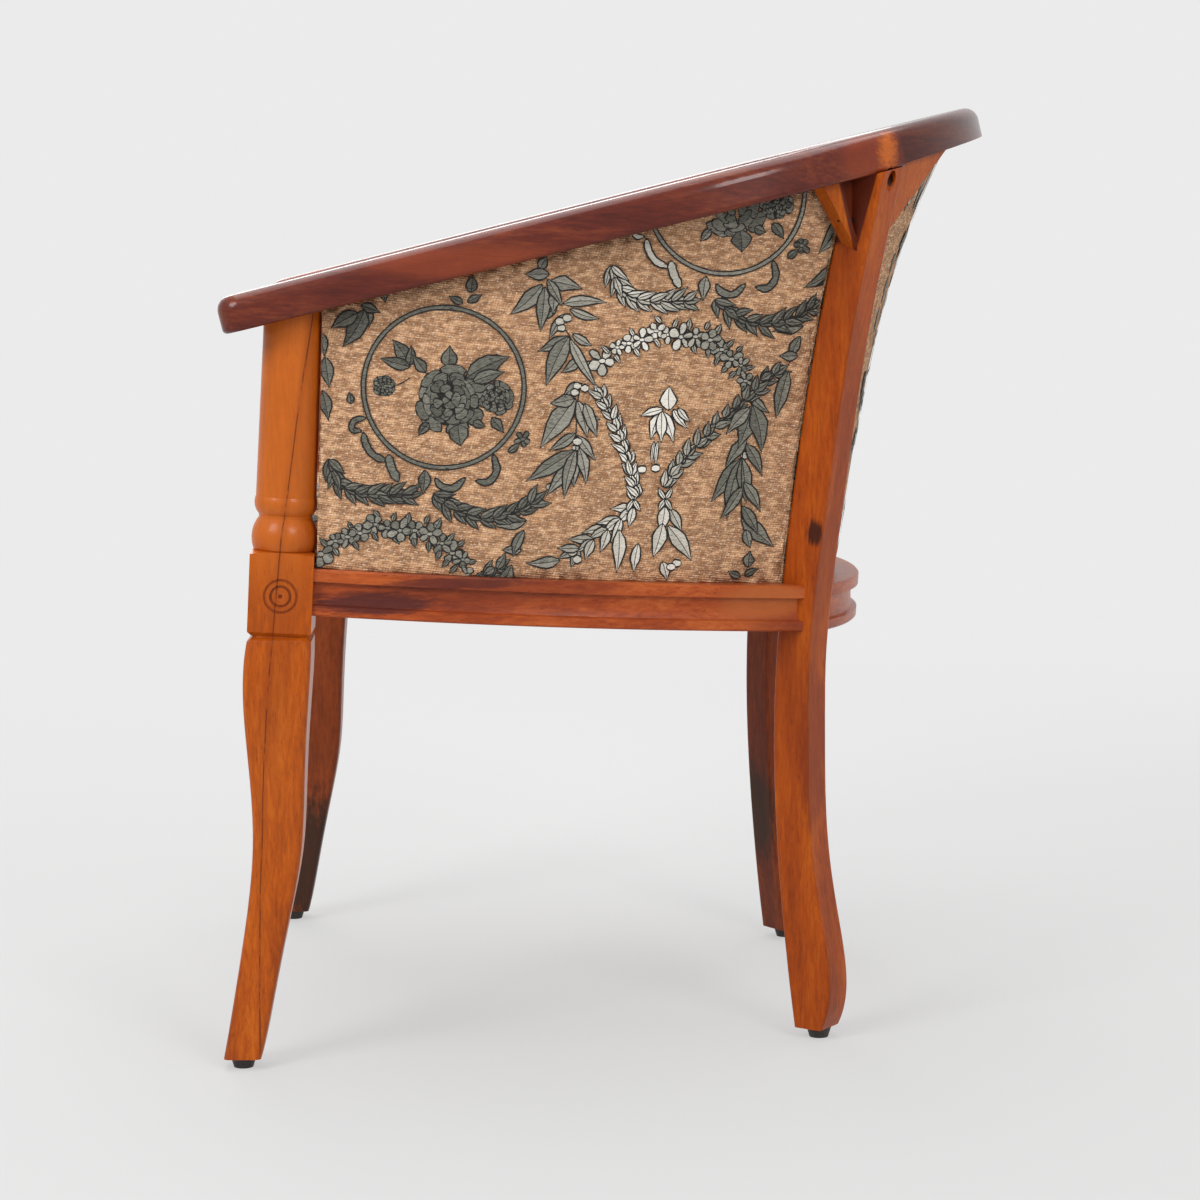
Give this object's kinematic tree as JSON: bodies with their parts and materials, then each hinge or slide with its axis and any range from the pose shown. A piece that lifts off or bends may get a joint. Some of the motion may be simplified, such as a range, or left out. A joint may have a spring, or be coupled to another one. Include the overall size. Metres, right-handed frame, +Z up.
{
  "type": "upholstered dining chair",
  "caption": "Upholstered tub dining chair: turned, sabre-curved front legs, splayed rear legs, a sloping horseshoe top rail and a tapestry-covered seat and wrap-round back.",
  "frame": {"origin": "on the floor, at the middle of the chair from side to side and from front to back", "axes": "+Z up, -Y to the front that the sitter faces, +X to the sitter's left"},
  "size_m": [0.604, 0.6506, 0.7897],
  "materials": {
    "frame_wood": "satin lacquer over a red-brown stain",
    "rail_wood": "gloss lacquer over a dark red stain",
    "plain_wood": "bare",
    "tapestry": "woven floral tapestry",
    "glide_plastic": "matte",
    "steel": "plain"
  },
  "bodies": {
    "root": {"arm_rail_left": "rail_wood", "arm_rail_right": "rail_wood", "back_panel": "plain_wood", "back_seat_rail": "frame_wood", "brace_nails": "steel", "corner_block_front_left": "plain_wood", "corner_block_front_right": "plain_wood", "corner_block_rear_left": "plain_wood", "corner_block_rear_right": "plain_wood", "corner_block_screws": "steel", "crest_dowels": "plain_wood", "crest_rail": "rail_wood", "front_leg_left": "frame_wood", "front_leg_right": "frame_wood", "front_seat_rail": "frame_wood", "glide_front_left": "glide_plastic", "glide_front_right": "glide_plastic", "glide_nails": "steel", "glide_rear_left": "glide_plastic", "glide_rear_right": "glide_plastic", "head_brace_left": "frame_wood", "head_brace_right": "frame_wood", "head_gusset_left": "frame_wood", "head_gusset_right": "frame_wood", "head_screws": "steel", "inside_back_pad": "tapestry", "inside_pad_left": "tapestry", "inside_pad_right": "tapestry", "outside_back_cover": "tapestry", "outside_cover_left": "tapestry", "outside_cover_right": "tapestry", "rail_dowels": "plain_wood", "rear_leg_left": "frame_wood", "rear_leg_right": "frame_wood", "seat_board": "plain_wood", "seat_board_screws": "steel", "seat_cushion": "tapestry", "side_panel_left": "plain_wood", "side_panel_right": "plain_wood", "side_seat_rail_left": "frame_wood", "side_seat_rail_right": "frame_wood"}
  },
  "joints": []
}
